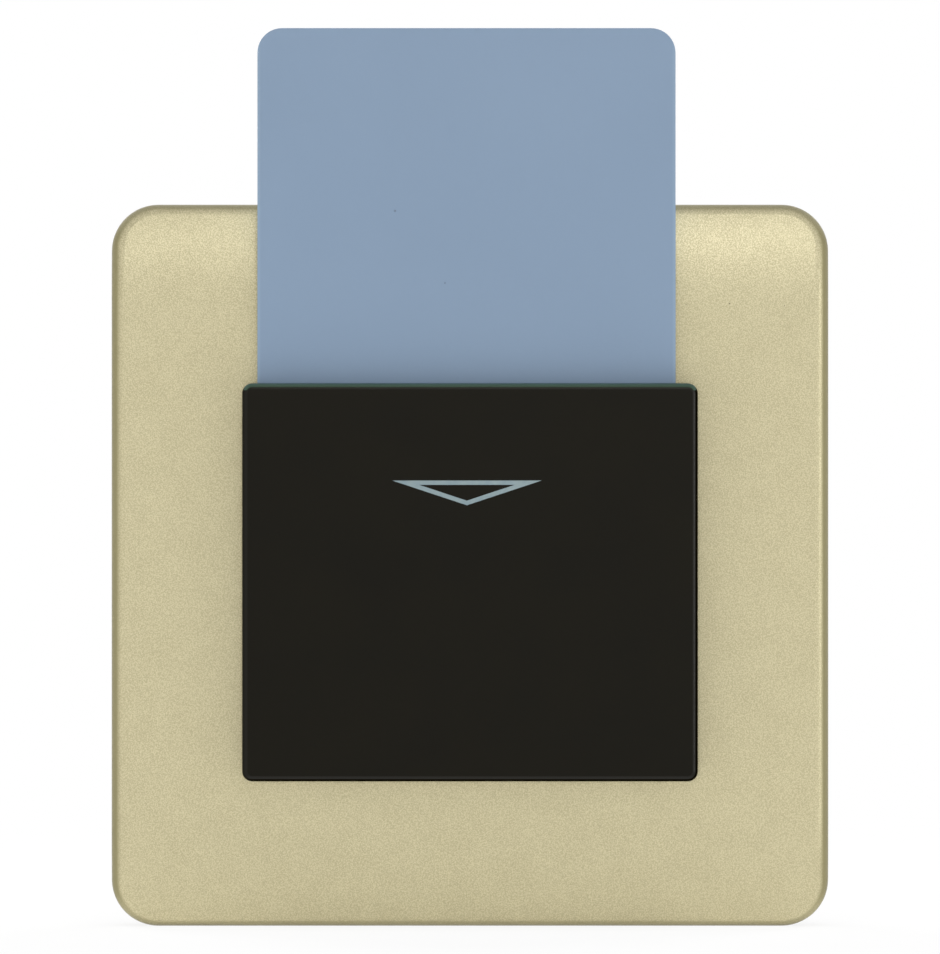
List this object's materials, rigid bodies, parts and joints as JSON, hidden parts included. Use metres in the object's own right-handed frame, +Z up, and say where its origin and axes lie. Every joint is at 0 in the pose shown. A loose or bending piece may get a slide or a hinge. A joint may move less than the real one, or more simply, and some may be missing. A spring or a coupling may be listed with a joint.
{
  "type": "hotel key card switch",
  "caption": "Square wall plate with a black card pocket that holds an upright key card; the card rocks a lever that works a switch in the box behind the wall.",
  "frame": {"origin": "on the wall plane, midway between the two wall screws", "axes": "+X to the viewer's right, +Z up, the switch faces -Y and its box runs towards +Y"},
  "size_m": [0.093, 0.0435, 0.1162],
  "materials": {
    "champagne_satin": "satin champagne-gold metallic finish",
    "black_plastic": "fine matte black",
    "pale_inlay": "pale blue-grey, matt",
    "card_plastic": "plain pale blue-grey, semi-gloss",
    "lever_plastic": "natural acetal",
    "spring_steel": "drawn wire",
    "zinc_steel": "bright zinc plated",
    "frame_plastic": "pale grey, fine texture",
    "housing_plastic": "off-white, fine texture",
    "board_green": "green solder mask",
    "switch_black": "black moulded case",
    "button_red": "red moulded button",
    "tinned": "tinned copper",
    "lamp_blue": "tinted lamp body",
    "clear_acrylic": "clear moulded",
    "relay_blue": "blue moulded case",
    "film_yellow": "yellow moulded case",
    "can_sleeve": "black sleeve",
    "varistor_blue": "blue dipped coating",
    "diode_black": "black epoxy",
    "resistor_grey": "grey coating",
    "block_plastic": "dark grey moulded",
    "brass": "machined"
  },
  "bodies": {
    "switch": {"front_plate": "champagne_satin", "pocket_cover": "black_plastic", "arrow_inlay": "pale_inlay", "pocket_base": "black_plastic", "cover_screws": "zinc_steel", "lever_pin": "zinc_steel", "pin_clip": "spring_steel", "lever_spring": "spring_steel", "mounting_frame": "frame_plastic", "rear_housing": "housing_plastic", "housing_screws": "zinc_steel", "circuit_board": "board_green", "board_screws": "zinc_steel", "microswitch_case": "switch_black", "microswitch_pins": "tinned", "locator_lamp": "lamp_blue", "lamp_leads": "tinned", "light_pipe": "clear_acrylic", "relay": "relay_blue", "relay_pins": "tinned", "film_capacitor": "film_yellow", "film_capacitor_leads": "tinned", "smoothing_capacitor": "can_sleeve", "smoothing_capacitor_leads": "tinned", "varistor": "varistor_blue", "varistor_leads": "tinned", "rectifier_diodes": "diode_black", "diode_leads": "tinned", "dropper_resistor": "resistor_grey", "resistor_leads": "tinned", "timer_chip": "diode_black", "timer_chip_legs": "tinned", "driver_transistor": "diode_black", "transistor_legs": "tinned", "terminal_block": "block_plastic", "terminal_pillars": "brass", "terminal_screws": "zinc_steel"},
    "card": {"key_card": "card_plastic"},
    "lever": {"card_lever": "lever_plastic"},
    "button": {"microswitch_button": "button_red"}
  },
  "joints": [
    {"name": "card_slide", "type": "slide", "parent": "switch", "child": "card", "axis": [0, 0, 1], "range_m": [0, 0.045]},
    {"name": "lever_rock", "type": "hinge", "parent": "switch", "child": "lever", "pos_m": [0, -0.005, -0.01531], "axis": [-1, 0, 0], "range_deg": [0, 20], "stiffness_Nm_per_rad": 0.005, "springref_deg": 22.92, "deforming": ["lever_spring"]},
    {"name": "button_press", "type": "slide", "parent": "switch", "child": "button", "axis": [0, -1, 0], "range_m": [0, 0.001], "stiffness_N_per_m": 5, "springref_m": 0.01}
  ],
  "couplings": [
    {"joint": "lever_rock", "follows": "card_slide", "rad_per_m": 7.75},
    {"joint": "button_press", "follows": "card_slide", "ratio": 0.0222}
  ]
}
